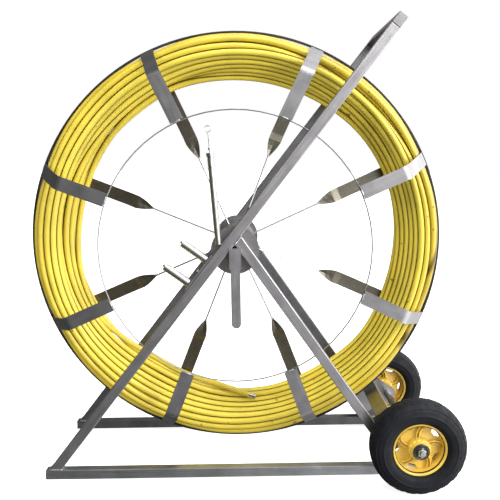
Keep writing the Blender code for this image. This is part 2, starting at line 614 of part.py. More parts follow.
def lock_pin():
    """A guide tube on the diagonal and the pull rod with its ring, which slides in it."""
    run = (LOCK_TOP[0] - LOCK_FOOT[0], LOCK_TOP[1] - LOCK_FOOT[1])
    length, lean = hypot(*run), atan2(run[0], run[1])
    middle = ((LOCK_FOOT[0] + LOCK_TOP[0]) / 2, -FRAME_MID, (LOCK_FOOT[1] + LOCK_TOP[1]) / 2)
    body = place("lock_tube", rod_mesh("lock", LOCK_R, length, 24, "Z"), ASSEMBLY, CHROME, middle,
                 (0.0, lean, 0.0))
    collar_at = (length - LOCK_COLLAR_H) / 2
    top_collar = cutter("lock_collar", rod_mesh("collar", LOCK_COLLAR_R, LOCK_COLLAR_H, 24, "Z"), body,
                        (0.0, 0.0, collar_at))
    combine(body, top_collar, "UNION")
    bore = rod_mesh("lock_bore", LOCK_BORE_R, length + 0.02, 16, "Z")
    combine(body, cutter("lock_bore", bore, ASSEMBLY, middle, (0.0, lean, 0.0)))
    base = cutter("diagonal_clearance", box_mesh("clear", (0.4, 0.05, TUBE + 2 * GAP)), ASSEMBLY,
                  (DIAGONAL_X, -FRAME_MID, 0.0), (0.0, -DIAGONAL_ANGLE, 0.0))
    combine(body, base)
    smooth(body)
    ring_centre = length / 2 + 0.0575
    low = -length / 2 + 0.024
    top = ring_centre - PULL_RING_R
    axis = empty("lock_axis", middle, ASSEMBLY, lean)
    rod = place("lock_pull_rod", rod_mesh("pull", PULL_R, top - low, 12, "Z"), axis, CHROME,
                (0.0, 0.0, (top + low) / 2))
    guide = cutter("pull_plug", rod_mesh("plug", LOCK_BORE_R - GAP, 0.02, 16, "Z"), axis,
                   (0.0, 0.0, low + 0.01))
    combine(rod, guide, "UNION")
    ball = mesh_of("ball", lambda work: bmesh.ops.create_uvsphere(work, u_segments=14, v_segments=9,
                                                                  radius=PULL_BALL_R))
    combine(rod, cutter("pull_ball", ball, axis, (0.0, 0.0, length / 2 + 0.010)), "UNION")

    def build(work):
        sides, steps = 8, 28
        rings = []
        for i in range(steps):
            turn = 2 * pi * i / steps
            ring = []
            for j in range(sides):
                tilt = 2 * pi * j / sides
                reach = PULL_RING_R + PULL_WIRE * cos(tilt)
                ring.append(work.verts.new((reach * cos(turn), PULL_WIRE * sin(tilt),
                                            reach * sin(turn))))
            rings.append(ring)
        for i in range(steps):
            for j in range(sides):
                a, b = rings[i], rings[(i + 1) % steps]
                k = (j + 1) % sides
                work.faces.new((a[j], a[k], b[k], b[j]))
        bmesh.ops.recalc_face_normals(work, faces=work.faces)

    eye = cutter("pull_ring", mesh_of("pull_ring", build), axis, (0.0, 0.0, ring_centre))
    combine(rod, eye, "UNION")
    smooth(rod, 60)


def guide_rollers():
    """A plate on the diagonal's upper side carries two pins, and a roller turns on each."""
    along = (cos(DIAGONAL_ANGLE), sin(DIAGONAL_ANGLE))
    normal = (-sin(DIAGONAL_ANGLE), cos(DIAGONAL_ANGLE))
    face = TUBE / 2 + GAP + GUIDE_T / 2
    reach = [(x - DIAGONAL_X) * along[0] + z * along[1] for x, z in ROLLER_FEET]
    middle = sum(reach) / 2
    plate_length = abs(reach[0] - reach[1]) + 0.036
    centre = (DIAGONAL_X + middle * along[0] + face * normal[0], -FRAME_MID,
              middle * along[1] + face * normal[1])
    plate = place("guide_plate", box_mesh("guide", (plate_length, TUBE - 0.002, GUIDE_T)), ASSEMBLY,
                  DARK_STEEL, centre, (0.0, -DIAGONAL_ANGLE, 0.0))
    bolt = cutter("guide_bolt_head", rod_mesh("bolt", 0.006, 0.006, 6, "Z"), ASSEMBLY,
                  (centre[0] + 0.004 * normal[0], centre[1], centre[2] + 0.004 * normal[1]),
                  (0.0, -DIAGONAL_ANGLE, 0.0))
    combine(plate, bolt, "UNION")
    lean = -ROLLER_ANGLE
    for label, distance in zip("ab", reach):
        root = (DIAGONAL_X + distance * along[0] + face * normal[0], -FRAME_MID,
                distance * along[1] + face * normal[1])
        pin_axis = empty("roller_axis_" + label, root, ASSEMBLY, lean)
        pin_length = ROLLER_LENGTH + 0.010
        pin = cutter("roller_pin_" + label, rod_mesh("pin", ROLLER_PIN_R, pin_length, 14, "X"),
                     pin_axis, (pin_length / 2, 0.0, 0.0))
        combine(plate, pin, "UNION")
        middle_at = (GUIDE_T / 2 + ROLLER_CLEAR + ROLLER_LENGTH / 2, 0.0, 0.0)
        roller = place("guide_roller_" + label,
                       rod_mesh("roller", ROLLER_R, ROLLER_LENGTH, 24, "X"), pin_axis, CHROME,
                       middle_at)
        hole = rod_mesh("roller_bore", ROLLER_BORE, 2 * ROLLER_LENGTH, 14, "X")
        combine(roller, cutter("roller_bore_" + label, hole, pin_axis, middle_at))
        smooth(roller)


# ---------------------------------------------------------------- build it

side_frame("near", -FRAME_MID)
side_frame("far", FRAME_MID)
handle()
rear_frame()
wheel("near", -1)
wheel("far", 1)
for number in range(FORKS):
    fork(number)
hub()
cage()
rod_end_fitting()
axle_and_brake()
brake_lever()
lock_pin()
guide_rollers()
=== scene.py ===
"""Looks for the wheeled rod reel: the wound rod, ribbed wheels, welds and the finish of every surface.

Metres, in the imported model's frame. The stand leans a little on its wheels, so shapes are drawn in the
stand's own axes: X along the base rails, Z square to them, and the hub's centre at the origin.
"""

import json
from math import asin, cos, pi, radians, sin, sqrt

import bmesh
import bpy
import numpy as np
from mathutils import Matrix, Vector


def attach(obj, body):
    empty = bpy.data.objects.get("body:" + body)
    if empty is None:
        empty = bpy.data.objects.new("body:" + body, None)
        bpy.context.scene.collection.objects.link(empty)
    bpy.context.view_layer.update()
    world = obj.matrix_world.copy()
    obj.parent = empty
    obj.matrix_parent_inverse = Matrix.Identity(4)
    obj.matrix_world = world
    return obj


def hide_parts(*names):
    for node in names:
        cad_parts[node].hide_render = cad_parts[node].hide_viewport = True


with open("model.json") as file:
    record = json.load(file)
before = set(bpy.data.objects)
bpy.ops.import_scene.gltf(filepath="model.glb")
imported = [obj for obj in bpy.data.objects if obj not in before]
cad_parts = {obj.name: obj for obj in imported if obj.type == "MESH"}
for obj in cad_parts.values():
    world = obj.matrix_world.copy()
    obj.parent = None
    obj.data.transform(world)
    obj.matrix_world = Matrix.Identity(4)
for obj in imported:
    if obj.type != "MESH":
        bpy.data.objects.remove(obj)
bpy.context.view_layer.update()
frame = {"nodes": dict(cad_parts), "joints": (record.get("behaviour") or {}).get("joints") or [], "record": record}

NODES = frame["nodes"]
JOINTS = {joint["name"]: joint for joint in frame["joints"]}
MOUNTS = {mount["name"]: mount for mount in frame["record"]["mounts"]}

HUB = Vector(JOINTS["reel_spin"]["pos_m"])
LEAN = asin(MOUNTS["near_rail_underside"]["axis"][0])
STAND = Matrix.Translation(HUB) @ Matrix.Rotation(-LEAN, 4, "Y")

# The wound rod
ROD_R = 0.008
TURN_STEPS = 120                 # places round one turn
TAIL_STEPS = 13                  # places between two points of the loose end
ROD_SIDES = 12
LAYER, PITCH = 0.0144, 0.0161    # between layers, and between turns of one layer
RELAX_ROUNDS = 60                # of settling the turns and straightening the rod
STRAIGHTEN_ROUNDS = 22           # of straightening alone, after them
PUSH = 0.4                       # share of an overlap that one settling takes away
DRIFT, SINK = 0.0060, 0.0034     # how far turns wander along their layer, and out of it
SEED = 11
SEAM = -150                      # degrees round the hub, where one turn passes to the next
BULGE, BULGE_FROM, BULGE_OVER = 0.0042, 0.515, 0.022    # of the outer turns, between forks
# Where the inner turns sag or rise: degrees round the hub, spread in degrees, and how far outwards
SAGS = ((135, 26, -0.0055), (239, 20, -0.0175), (285, 14, 0.0035), (321, 15, 0.0090))
SAG_FROM, SAG_OVER = 0.51, 0.055
# The loose end before it runs straight: degrees round the hub, radius and y
TAIL = ((-137, 0.4295, 0.0685), (-124, 0.4150, 0.0690), (-113, 0.4180, 0.0680),
        (-102, 0.4222, 0.0665))
TAIL_STRAIGHT = 0.05             # how much of it runs straight into its fitting

# The cage's forks, and weld beads
FORKS, FORK_START = 8, 23.3      # how many, and the first one's degrees round the hub
BACK_ARM_SHADE_Y = (0.035, 0.060)         # where the painted shade on the arms behind the rod begins, and where it is full
# Painted shade: the arms behind the rod are darkened and tinted olive, standing in for shade and the coil's yellow
# reflected in them.
BACK_ARM_SHADE_TINT = (0.50, 0.47, 0.37)
TUBE_WELD_R, RING_WELD_R, HOOP_WELD_R, SPOKE_WELD_R = 0.0022, 0.0019, 0.0017, 0.0026
RING_WELD_HALF = 0.009
HOOP_WELD_AT = (0.016, 0.010, 0.005)    # on each side of a fork's middle
HOOP_WELD_IN = 0.0045            # inside the hoop's outer face
SPOKE_WELD_REACH = (0.006, -0.004)      # from the end of a fork's tip, outwards
RIPPLE = 0.0012                  # length of one ripple of a bead
BEAD_SIDES = 7

# Wheels, about their own axes: y is outwards along the axle
RIM_LIP, BOSS_R, BOSS_BORE = 0.0672, 0.0275, 0.0168
SPOKES, SPOKE_FIRST, SPOKE_SWEEP = 5, 10, 20
SPOKE_FROM, SPOKE_TO, SPOKE_STEPS = 0.0250, 0.0580, 12
WEB_STEPS, BARREL_STEPS, BOSS_STEPS, SEAL_STEPS = 144, 96, 72, 48
WINDOW_MIDDLE, WINDOW_HALF, WINDOW_EDGE = 44, 17, 9    # degrees from a spoke
WINDOW_DEPTH = 0.0110
LUG_STEPS, LUG_EVERY = 144, 6
SHOULDER_NOTCH, TREAD_SLIT = 0.0009, 0.0015

# Camera, in the stand's axes
CAMERA_AT = (0.0349, -1.7612, 0.2380)
CAMERA_YAW, CAMERA_PITCH, CAMERA_ROLL = 0.0014, 0.1461, -0.0149
LENS, SENSOR = 47.19, 36.0

# Studio. ROOM is how bright the room is by direction, from -1 away from the softbox to 1 facing it
SOFTBOX_SIDE = (1.0, -0.10, 0.25)
ROOM = ((-1.0, 0.03), (-0.2, 0.052), (-0.045, 0.075), (0.10, 0.25), (0.38, 0.40), (0.56, 0.85),
        (0.64, 1.0))
ROOM_STRENGTH = 2.3
FLOOR_HALF, FLOOR_GLOW = 30.0, 0.75
# Lamps: name, place, target, size and watts
LAMPS = (("key", (2.3, -2.4, 1.9), (0.1, 0.0, 0.6), (1.6, 1.6), 70.0),
         ("top", (0.3, -0.8, 3.2), (0.0, 0.0, 0.6), (2.4, 1.6), 45.0),
         ("fill", (-2.2, -2.6, 1.2), (0.0, 0.0, 0.6), (2.2, 2.2), 60.0))


# ---------------------------------------------------------------- small helpers

def node_points(name):
    """A CAD node's vertices in the stand's axes."""
    mesh = NODES[name].data
    points = np.empty(len(mesh.vertices) * 3)
    mesh.vertices.foreach_get("co", points)
    inverse = np.array(STAND.inverted())
    return points.reshape(-1, 3) @ inverse[:3, :3].T + inverse[:3, 3]


def add_piece(name, mesh, material, body, replaces=(), place=STAND):
    """A finished piece, drawn in the axes of place, that rides on a body."""
    obj = bpy.data.objects.new(name, mesh)
    bpy.context.scene.collection.objects.link(obj)
    mesh.transform(place)
    mesh.materials.clear()
    mesh.materials.append(material)
    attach(obj, body)
    if replaces:
        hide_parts(*replaces)


def built(name, build, angle=40):
    """A mesh that build(work) draws, smooth except at edges sharper than angle in degrees."""
    mesh = bpy.data.meshes.new(name)
    work = bmesh.new()
    build(work)
    bmesh.ops.recalc_face_normals(work, faces=work.faces)
    work.to_mesh(mesh)
    work.free()
    mesh.shade_smooth()
    mesh.set_sharp_from_angle(angle=radians(angle))
    return mesh


def fill_ramp(ramp, stops):
    """Sets a colour ramp's stops: a list of (place, colour or grey)."""
    while len(ramp.elements) < len(stops):
        ramp.elements.new(0.5)
    for element, (place, shade) in zip(ramp.elements, stops):
        element.position = place
        element.color = (*shade, 1.0) if isinstance(shade, tuple) else (shade, shade, shade, 1.0)


# ---------------------------------------------------------------- materials

class Finish:
    """A material with its Principled shader, and short calls for the nodes that feed it."""

    def __init__(self, name, roughness=0.5, metallic=0.0, **sockets):
        self.material = bpy.data.materials.new(name)
        self.material.use_nodes = True
        self.tree = self.material.node_tree
        self.shader = self.tree.nodes["Principled BSDF"]
        self.shader.inputs["Roughness"].default_value = roughness
        self.shader.inputs["Metallic"].default_value = metallic
        for socket, value in sockets.items():
            self.shader.inputs[socket.replace("_", " ")].default_value = value

    def node(self, kind, **settings):
        made = self.tree.nodes.new(kind)
        for key, value in settings.items():
            setattr(made, key, value)
        return made

    def link(self, source, target):
        self.tree.links.new(source, target)

    def coords(self, stretch=(1, 1, 1), turn=0.0):
        """Object coordinates, turned about Y by turn and then stretched."""
        source = self.node("ShaderNodeTexCoord").outputs["Object"]
        rotate = self.node("ShaderNodeMapping")
        rotate.inputs["Rotation"].default_value = (0.0, turn, 0.0)
        self.link(source, rotate.inputs["Vector"])
        scale = self.node("ShaderNodeMapping")
        scale.inputs["Scale"].default_value = stretch
        self.link(rotate.outputs["Vector"], scale.inputs["Vector"])
        return scale.outputs["Vector"]

    def noise(self, vector, scale, detail=4.0, rough=0.55):
        made = self.node("ShaderNodeTexNoise")
        made.inputs["Scale"].default_value = scale
        made.inputs["Detail"].default_value = detail
        made.inputs["Roughness"].default_value = rough
        self.link(vector, made.inputs["Vector"])
        return made.outputs["Fac"]

    def ramp(self, value, stops):
        """Maps a value to colours or greys."""
        made = self.node("ShaderNodeValToRGB")
        fill_ramp(made.color_ramp, stops)
        self.link(value, made.inputs["Fac"])
        return made.outputs["Color"]

    def mix(self, amount, first, second, blend="MIX"):
        made = self.node("ShaderNodeMix", data_type="RGBA", blend_type=blend)
        for socket, value in ((0, amount), (6, first), (7, second)):
            if isinstance(value, bpy.types.NodeSocket):
                self.link(value, made.inputs[socket])
            elif isinstance(value, tuple):
                made.inputs[socket].default_value = (*value, 1.0)
            else:
                made.inputs[socket].default_value = value
        return made.outputs[2]

    def colour(self, source):
        self.link(source, self.shader.inputs["Base Color"])

    def roughness(self, source):
        self.link(source, self.shader.inputs["Roughness"])

    def bump(self, height, distance, strength=1.0):
        made = self.node("ShaderNodeBump")
        made.inputs["Distance"].default_value = distance
        made.inputs["Strength"].default_value = strength
        self.link(height, made.inputs["Height"])
        self.link(made.outputs["Normal"], self.shader.inputs["Normal"])


GREY = (0.50, 0.485, 0.50)
SATIN = (0.28, 0.42)             # lowest and highest roughness of plain steel


def steel_surface(finish, shade, along, roughness):
    """Mottling, dull patches and fine drawing lines along one direction. Returns their colour."""
    even = finish.coords()
    lines = finish.coords((1.5, 60.0, 60.0), along)
    mottle = finish.noise(even, 22.0, 5.0)
    streaks = finish.noise(lines, 6.0, 3.0)
    dark = tuple(c * 0.80 for c in shade)
    light = tuple(min(1.0, c * 1.16) for c in shade)
    body = finish.ramp(mottle, [(0.30, dark), (0.55, shade), (0.75, light)])
    lined = finish.mix(0.35, body, finish.ramp(streaks, [(0.3, 0.55), (0.7, 1.0)]), "MULTIPLY")
    specks = finish.ramp(finish.noise(even, 190.0, 2.0), [(0.68, 0.0), (0.76, 0.5)])
    finish.roughness(finish.ramp(streaks, [(0.25, roughness[0]), (0.8, roughness[1])]))
    finish.bump(streaks, 0.0001, 0.10)
    return finish.mix(specks, lined, tuple(c * 0.6 for c in shade))


def steel(name, shade, along=0.0, roughness=SATIN, metallic=0.95):
    """Plain drawn steel; along is the angle of its drawing lines."""
    finish = Finish(name, metallic=metallic)
    finish.colour(steel_surface(finish, shade, along, roughness))
    return finish.material


def strip_steel(name, along):
    """The cage's flat bar: satin on the open arms, with painted shade, darker and olive, on the arms behind the
    rod.
    """
    finish = Finish(name, metallic=0.95)
    bare = steel_surface(finish, (0.42, 0.41, 0.42), along, SATIN)
    places = finish.node("ShaderNodeSeparateXYZ")
    finish.link(finish.node("ShaderNodeTexCoord").outputs["Object"], places.inputs[0])
    # Painted shade: darker and olive-tinted towards the arms behind the rod, along y.
    depth = finish.node("ShaderNodeMapRange")
    depth.inputs["From Min"].default_value, depth.inputs["From Max"].default_value = BACK_ARM_SHADE_Y
    finish.link(places.outputs["Y"], depth.inputs["Value"])
    finish.colour(finish.mix(depth.outputs["Result"], bare, BACK_ARM_SHADE_TINT, "MULTIPLY"))
    return finish.material


def plated(name, shade, roughness=0.16):
    """Bright plating with faint handling marks."""
    finish = Finish(name, metallic=1.0)
    marks = finish.noise(finish.coords(), 60.0, 4.0)
    finish.colour(finish.ramp(marks, [(0.35, tuple(c * 0.86 for c in shade)), (0.7, shade)]))
    finish.roughness(finish.ramp(marks, [(0.3, roughness), (0.75, roughness + 0.12)]))
    return finish.material


def painted(name, shade, roughness=0.3, texture=300.0):
    """Paint with slight colour drift, grime and a faint orange-peel surface."""
    finish = Finish(name, roughness, Coat_Weight=0.3, Coat_Roughness=0.15)
    even = finish.coords()
    drift = finish.noise(even, 18.0, 3.0)
    body = finish.ramp(drift, [(0.3, tuple(c * 0.82 for c in shade)), (0.65, shade)])
    grime = finish.ramp(finish.noise(even, 70.0, 6.0, 0.7), [(0.60, 0.0), (0.80, 0.55)])
    finish.colour(finish.mix(grime, body, tuple(c * 0.35 for c in shade)))
    finish.bump(finish.noise(even, texture, 2.0), 0.0002, 0.3)
    return finish.material


def rod_finish():
    """Yellow jacket: each turn has its own tone, with painted shade between turns, scuffs and dark marks."""
    finish = Finish("rod_yellow", 0.34, Coat_Weight=0.25, Coat_Roughness=0.2)
    tone = finish.node("ShaderNodeAttribute", attribute_name="tone").outputs["Fac"]
    clear = finish.node("ShaderNodeAttribute", attribute_name="clear").outputs["Fac"]
    even = finish.coords()
    jacket = finish.ramp(tone, [(0.0, (0.50, 0.36, 0.035)), (0.3, (0.66, 0.50, 0.045)),
                                (0.75, (0.74, 0.58, 0.055)), (1.0, (0.82, 0.67, 0.08))])
    cloud = finish.ramp(finish.noise(even, 9.0, 4.0), [(0.35, 0.80), (0.65, 1.0)])
    toned = finish.mix(1.0, jacket, cloud, "MULTIPLY")
    scuffs = finish.ramp(finish.noise(even, 46.0, 3.0), [(0.62, 0.0), (0.80, 0.35)])
    worn = finish.mix(scuffs, toned, (0.36, 0.27, 0.05))
    spots = finish.ramp(finish.noise(even, 62.0, 1.0), [(0.745, 0.0), (0.77, 0.8)])
    marked = finish.mix(spots, worn, (0.10, 0.075, 0.02))
    # Painted shade: the skin darkens where it touches or nears another turn.
    gap_shade = finish.ramp(clear, [(0.0, (0.10, 0.075, 0.02)), (0.20, (0.36, 0.32, 0.21)),
                               (0.46, (1.0, 1.0, 1.0))])
    finish.colour(finish.mix(1.0, marked, gap_shade, "MULTIPLY"))
    finish.roughness(finish.ramp(finish.noise(even, 35.0, 4.0), [(0.3, 0.26), (0.75, 0.46)]))
    finish.bump(finish.noise(even, 110.0, 2.0), 0.0001, 0.15)
    return finish.material


def rubber():
    """Black tyre rubber, faintly blue, with dust in its pores."""
    finish = Finish("tyre_rubber", 0.66, Specular_IOR_Level=0.22)
    even = finish.coords()
    dust = finish.ramp(finish.noise(even, 28.0, 6.0, 0.7),
                       [(0.35, (0.006, 0.007, 0.010)), (0.72, (0.014, 0.014, 0.017))])
    finish.colour(dust)
    finish.roughness(finish.ramp(finish.noise(even, 90.0, 4.0), [(0.3, 0.5), (0.7, 0.75)]))
    finish.bump(finish.noise(even, 420.0, 3.0), 0.0004, 0.4)
    return finish.material


DIAGONAL_TURN, BRACE_TURN = radians(51.8), radians(-55.51)
RAIL_STEEL = steel("rail_steel", (0.50, 0.51, 0.52), -LEAN)
DIAGONAL_STEEL = steel("diagonal_steel", GREY, DIAGONAL_TURN)
# Painted shade: a darker copy of the frame's steel for the far side's tubes, which sit in shade.
FAR_SHADED_STEEL = steel("far_shaded_steel", (0.19, 0.19, 0.20), DIAGONAL_TURN, (0.35, 0.5), 0.85)
BRACE_STEEL = steel("brace_steel", GREY, BRACE_TURN)
CROSS_STEEL = steel("cross_steel", (0.42, 0.40, 0.40), pi / 2)
DARK_STEEL = steel("dark_steel", (0.24, 0.235, 0.23), 0.0, (0.38, 0.55), 0.7)
WELD_STEEL = steel("weld_steel", (0.62, 0.62, 0.63), 0.0, (0.25, 0.4))
BRIGHT = plated("bright_steel", (0.78, 0.78, 0.77))
WIRE_STEEL = plated("wire_steel", (0.50, 0.49, 0.50), 0.3)
ZINC = plated("zinc_plate", (0.62, 0.63, 0.60), 0.26)
HOOP_BLACK = painted("hoop_black", (0.018, 0.017, 0.017), 0.45)
RIM_YELLOW = painted("rim_yellow", (0.83, 0.57, 0.085), 0.30)
PAD_BROWN = painted("pad_brown", (0.11, 0.065, 0.04), 0.85, 90.0)
SEAL_BLACK = painted("bearing_seal", (0.02, 0.02, 0.02), 0.4)
ROD_YELLOW = rod_finish()
RUBBER = rubber()


def dress_nodes():
    """Gives every carried CAD node its finish."""
    looks = {"base_rail_far": FAR_SHADED_STEEL, "diagonal_far": FAR_SHADED_STEEL, "brace_far": FAR_SHADED_STEEL,
             "base_rail": RAIL_STEEL, "diagonal": DIAGONAL_STEEL, "brace": BRACE_STEEL,
             "handle": CROSS_STEEL, "rear_cross": CROSS_STEEL, "axle_bracket": BRACE_STEEL,
             "wheel_axle": ZINC, "axle_spacer": DARK_STEEL, "axle_nut": ZINC,
             "axle_plate": DARK_STEEL, "reel_axle": BRIGHT, "brake_pad": PAD_BROWN,
             "lock_tube": ZINC, "guide_plate": DARK_STEEL, "guide_roller": BRIGHT,
             "spoke": WIRE_STEEL, "hub_tube": DARK_STEEL, "hub_end": DARK_STEEL,
             "hub_bearing": BRIGHT, "front_ring": WIRE_STEEL, "hoop": HOOP_BLACK,
             "rod_end_fitting": BRIGHT, "wheel_bearing": SEAL_BLACK, "lock_pull_rod": BRIGHT,
             "brake_lever": steel("lever_steel", GREY, pi / 2)}
    for name, node in NODES.items():
        start = [key for key in looks if name.startswith(key)]
        if start:
            node.data.materials.clear()
            node.data.materials.append(looks[start[0]])
    for index in range(FORKS):
        node = NODES[f"fork_{index + 1}"]
        turn = radians(FORK_START + 360 / FORKS * index) + LEAN
        node.data.materials.clear()
        node.data.materials.append(strip_steel(f"strip_steel_{index + 1}", turn))


# ---------------------------------------------------------------- the wound rod

def winding_outline():
    """Corners of the CAD winding's convex cross-section, as (radius, y), in order round it."""
    points = node_points("rod_winding")
    flat = np.stack([np.hypot(points[:, 0], points[:, 2]), points[:, 1]], 1)
    angle = np.linspace(0, 2 * pi, 721)[:-1]
    furthest = (flat @ np.stack([np.cos(angle), np.sin(angle)])).argmax(0)
    keep = furthest[furthest != np.roll(furthest, 1)]
    corners = flat[keep]
    apart = np.linalg.norm(corners - np.roll(corners, 1, 0), axis=1) > 0.001
    return corners[apart]


def half_planes(outline):
    """Outward normals and offsets of a convex outline's sides."""
    side = np.roll(outline, -1, 0) - outline
    normal = np.stack([side[:, 1], -side[:, 0]], 1)
    normal /= np.linalg.norm(normal, axis=1)[:, None]
    return normal, (normal * outline).sum(1)


def layer_places(normal, offset, middle, depth, corner):
    """Evenly spaced places round the outline moved inwards by depth, from the corner and back to it."""
    angle = np.linspace(0, 2 * pi, 1441)[:-1]
    ray = np.stack([np.cos(angle), np.sin(angle)], 1)
    facing = ray @ normal.T
    room = offset - depth - normal @ middle
    reach = np.where(facing > 1e-6, room / np.maximum(facing, 1e-6), np.inf).min(1)
    if reach.min() < 0.003:
        return np.zeros((0, 2))
    loop = middle + ray * reach[:, None]
    first = np.argmin(np.linalg.norm(loop - corner, axis=1))
    loop = np.roll(loop, -first, 0)[::-1]
    loop = np.concatenate([loop[-1:], loop])
    length = np.concatenate([[0], np.cumsum(np.linalg.norm(np.diff(loop, axis=0), axis=1))])
    count = max(1, int(length[-1] / PITCH))
    wanted = (np.arange(count) + 0.5) * length[-1] / count
    return np.stack([np.interp(wanted, length, loop[:, i]) for i in (0, 1)], 1)


def smooth_noise(random, rows, steps, waves):
    """One periodic smooth curve of about unit size for each row."""
    angle = np.arange(steps) * 2 * pi / steps
    total = np.zeros((rows, steps))
    for wave in range(1, waves + 1):
        size = random.normal(size=(rows, 2, 1)) / sqrt(waves)
        total += size[:, 0] * np.cos(wave * angle) + size[:, 1] * np.sin(wave * angle)
    return total


def settle(turns, normal, offset):
    """Pushes touching turns apart a little, and keeps them inside the outline, at every station."""
    gap = turns[:, None] - turns[None]
    far = np.linalg.norm(gap, axis=3) + 1e-9
    push = np.clip(2 * ROD_R - far, 0, None)
    push[np.arange(len(turns)), np.arange(len(turns))] = 0
    turns = turns + PUSH * (gap / far[..., None] * push[..., None]).sum(1)
    beyond = turns @ normal.T - (offset - ROD_R)
    worst = beyond.argmax(2)
    out = np.clip(beyond.max(2), 0, None)
    return turns - normal[worst] * out[..., None]


def straighten(turns):
    """Averages each station of the rod a little with the ones before and after it."""
    flat = turns.reshape(-1, 2)
    flat[1:-1] = 0.25 * flat[:-2] + 0.5 * flat[1:-1] + 0.25 * flat[2:]
    return flat.reshape(turns.shape)


def relax(turns, normal, offset):
    """Settles the turns and straightens the rod along its length, a little of each at a time."""
    for _ in range(RELAX_ROUNDS):
        turns = straighten(settle(settle(turns, normal, offset), normal, offset))
    for _ in range(STRAIGHTEN_ROUNDS):
        turns = straighten(turns)
    return turns


def uneven(radius):
    """How far the turns stray: out to the hoop between forks, and in or out at the coil's inner side."""
    angle = SEAM + np.arange(TURN_STEPS) * 360 / TURN_STEPS
    fork = node_points("fork_1").mean(0)
    from_fork = np.radians(angle) - np.arctan2(fork[2], fork[0])
    between = np.clip(1.25 * np.abs(np.sin(FORKS / 2 * from_fork)) - 0.12, 0, 1)
    total = BULGE * between * np.clip((radius - BULGE_FROM) / BULGE_OVER, 0, 1)
    inner = np.clip((SAG_FROM - radius) / SAG_OVER, 0, 1)
    for place, spread, depth in SAGS:
        away = (angle - place + 180) % 360 - 180
        total = total + depth * np.exp(-(away / spread) ** 2) * inner
    return total


def rod_turns():
    """(radius, y) of every turn at every station, from the inner end to the loose end."""
    outline = winding_outline()
    middle = outline.mean(0)
    normal, offset = half_planes(outline)
    corner = np.array([outline[:, 0].min() + ROD_R, outline[:, 1].max() - ROD_R])
    layers = []
    depth = ROD_R
    while True:
        layer = layer_places(normal, offset, middle, depth, corner)
        if not len(layer):
            break
        layers.append(layer)
        depth += LAYER
    slots = np.concatenate(layers[::-1])
    count = len(slots) - 1
    random = np.random.default_rng(SEED)
    drift = smooth_noise(random, count, TURN_STEPS, 6) * DRIFT
    sink = smooth_noise(random, count, TURN_STEPS, 4) * SINK
    turns = np.zeros((count, TURN_STEPS, 2))
    along = slots[1:] - slots[:-1]
    unit = along / (np.linalg.norm(along, axis=1)[:, None] + 1e-9)
    across = np.stack([-unit[:, 1], unit[:, 0]], 1)
    for step in range(TURN_STEPS):
        share = step / TURN_STEPS
        base = slots[:-1] * (1 - share) + slots[1:] * share
        turns[:, step] = base + unit * drift[:, step, None] + across * sink[:, step, None]
    turns = relax(turns, normal, offset)
    turns[:, :, 0] += uneven(turns[:, :, 0])
    return turns, random


def tail_points(start):
    """The loose end from the last turn to the fitting, as centres in the stand's axes."""
    fitting = node_points("rod_end_fitting")
    middle = fitting.mean(0)
    axis = np.linalg.svd(fitting - middle)[2][0]
    axis = axis * np.sign(axis[0])
    stop = middle + axis * ((fitting - middle) @ axis).min()
    knots = [(SEAM - 6, *start), (SEAM, *start)] + list(TAIL)
    line = [np.array([r * cos(radians(a)), y, r * sin(radians(a))]) for a, r, y in knots]
    line += [stop - axis * TAIL_STRAIGHT, stop, stop + axis * TAIL_STRAIGHT]
    points = []
    for a, b, c, d in zip(line, line[1:], line[2:], line[3:]):
        for t in np.linspace(0, 1, TAIL_STEPS + 1)[:-1]:
            points.append(0.5 * (2 * b + (c - a) * t + (2 * a - 5 * b + 4 * c - d) * t ** 2
                                 + (3 * b - a - 3 * c + d) * t ** 3))
    return np.array(points + [stop])


def across(centre):
    """Two directions square to a line through the centres: away from the hub, and to the side."""
    ahead = np.gradient(centre, axis=0)
    ahead /= np.linalg.norm(ahead, axis=1)[:, None]
    side = np.cross(ahead, centre * (1, 0, 1))
    side /= np.linalg.norm(side, axis=1)[:, None]
    return np.cross(side, ahead), side


def crowding(turns):
    """How open each point of the rod's skin is: 0 touching another turn, 1 clear of them all."""
    count = len(turns)
    turn = np.arange(ROD_SIDES) * 2 * pi / ROD_SIDES
    spread = np.stack([np.cos(turn), np.sin(turn)], 1) * ROD_R
    openness = np.ones((count, TURN_STEPS, ROD_SIDES))
    for step in range(TURN_STEPS):
        here = turns[:, step]
        skin = here[:, None] + spread
        far = np.linalg.norm(skin[:, :, None] - here[None, None], axis=3)
        far[np.arange(count), :, np.arange(count)] = np.inf
        openness[:, step] = np.clip((far.min(2) - ROD_R) / ROD_R, 0, 1)
    return openness.reshape(-1, ROD_SIDES)


